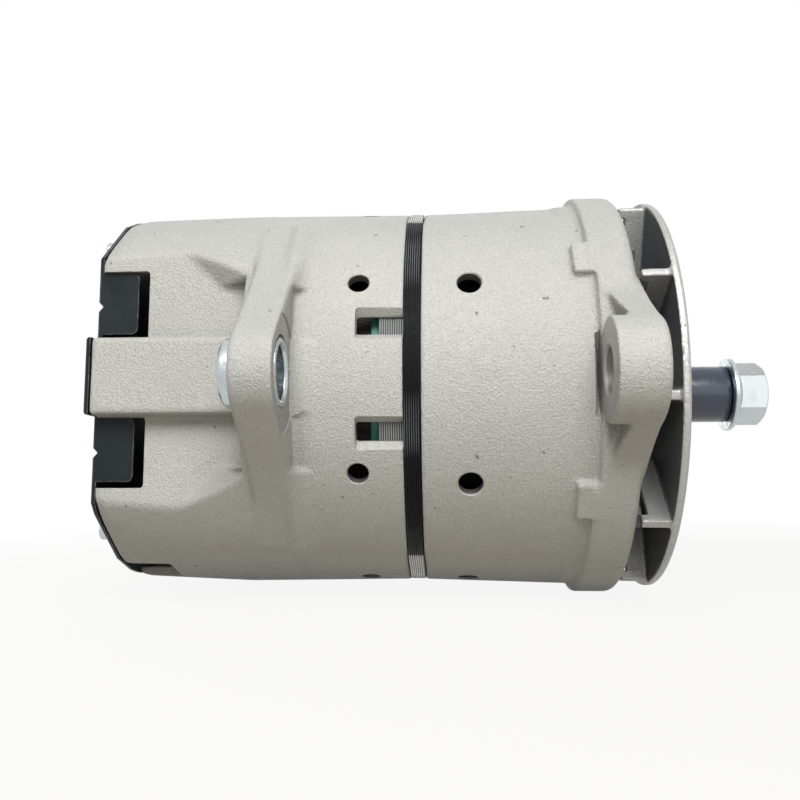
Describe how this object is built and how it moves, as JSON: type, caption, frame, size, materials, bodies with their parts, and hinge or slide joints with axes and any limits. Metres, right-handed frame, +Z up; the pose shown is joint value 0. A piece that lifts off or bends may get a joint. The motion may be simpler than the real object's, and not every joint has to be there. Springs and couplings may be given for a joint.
{
  "type": "vehicle alternator",
  "caption": "Heavy-duty belt-driven alternator with two hinge lugs, a split sliding bush, vented cast housings, an outside radial fan and a flange nut on the drive end.",
  "frame": {"origin": "centre of the drive end of the shaft", "axes": "+X along the shaft towards the drive end, -Y towards the hinge lugs, +Z up as in the picture"},
  "size_m": [0.3625, 0.2523, 0.216],
  "materials": {
    "cast_aluminium": "satin",
    "soft_iron": "matte",
    "varnished_winding": "satin",
    "copper": "satin",
    "dark_plastic": "matte",
    "black_painted_steel": "gloss",
    "zinc_plated_steel": "satin",
    "bright_steel": "satin"
  },
  "bodies": {
    "housing": {"front_housing": "cast_aluminium", "rear_housing": "cast_aluminium", "stator_core": "soft_iron", "stator_winding": "varnished_winding", "field_core": "soft_iron", "field_coil": "copper", "core_screw_1": "zinc_plated_steel", "core_screw_2": "zinc_plated_steel", "core_screw_3": "zinc_plated_steel", "front_bearing_outer": "bright_steel", "rear_bearing_outer": "bright_steel", "bearing_retainer": "zinc_plated_steel", "retainer_screw_1": "zinc_plated_steel", "retainer_screw_2": "zinc_plated_steel", "retainer_screw_3": "zinc_plated_steel", "through_bolt_1": "zinc_plated_steel", "through_bolt_2": "zinc_plated_steel", "through_bolt_3": "zinc_plated_steel", "through_bolt_4": "zinc_plated_steel", "negative_heat_sink": "cast_aluminium", "positive_heat_sink": "cast_aluminium", "diode_1": "bright_steel", "diode_2": "bright_steel", "diode_3": "bright_steel", "diode_4": "bright_steel", "diode_5": "bright_steel", "diode_6": "bright_steel", "plate_insulator_1": "dark_plastic", "plate_insulator_2": "dark_plastic", "plate_insulator_3": "dark_plastic", "rectifier_screw_1": "zinc_plated_steel", "rectifier_screw_2": "zinc_plated_steel", "rectifier_screw_3": "zinc_plated_steel", "voltage_regulator": "dark_plastic", "regulator_screw_1": "zinc_plated_steel", "regulator_screw_2": "zinc_plated_steel", "rear_cover": "black_painted_steel", "cover_screw_1": "zinc_plated_steel", "cover_screw_2": "zinc_plated_steel", "cover_screw_3": "zinc_plated_steel", "cover_screw_4": "zinc_plated_steel", "output_stud": "copper", "output_insulator": "dark_plastic", "output_nut": "zinc_plated_steel"},
    "rotor": {"shaft": "bright_steel", "fan_key": "bright_steel", "drive_pole": "soft_iron", "ring_pole": "soft_iron", "pole_joining_ring": "bright_steel", "front_bearing_inner": "bright_steel", "rear_bearing_inner": "bright_steel", "fan_spacer": "bright_steel", "fan": "cast_aluminium", "pulley_spacer": "black_painted_steel", "flange_nut": "zinc_plated_steel"},
    "front_cage": {"front_ball_cage": "bright_steel"},
    "rear_cage": {"rear_ball_cage": "bright_steel"},
    "bush": {"sliding_bush": "zinc_plated_steel"}
  },
  "joints": [
    {"name": "rotor_spin", "type": "hinge", "parent": "housing", "child": "rotor", "pos_m": [0, 0, 0], "axis": [1, 0, 0], "continuous": true},
    {"name": "front_cage_spin", "type": "hinge", "parent": "housing", "child": "front_cage", "pos_m": [-0.0958, 0, 0], "axis": [1, 0, 0], "continuous": true},
    {"name": "rear_cage_spin", "type": "hinge", "parent": "housing", "child": "rear_cage", "pos_m": [-0.2793, 0, 0], "axis": [1, 0, 0], "continuous": true},
    {"name": "bush_slide", "type": "slide", "parent": "housing", "child": "bush", "axis": [1, 0, 0], "range_m": [-0.004, 0.006]}
  ],
  "couplings": [
    {"joint": "front_cage_spin", "follows": "rotor_spin", "ratio": 0.395},
    {"joint": "rear_cage_spin", "follows": "rotor_spin", "ratio": 0.4097}
  ]
}
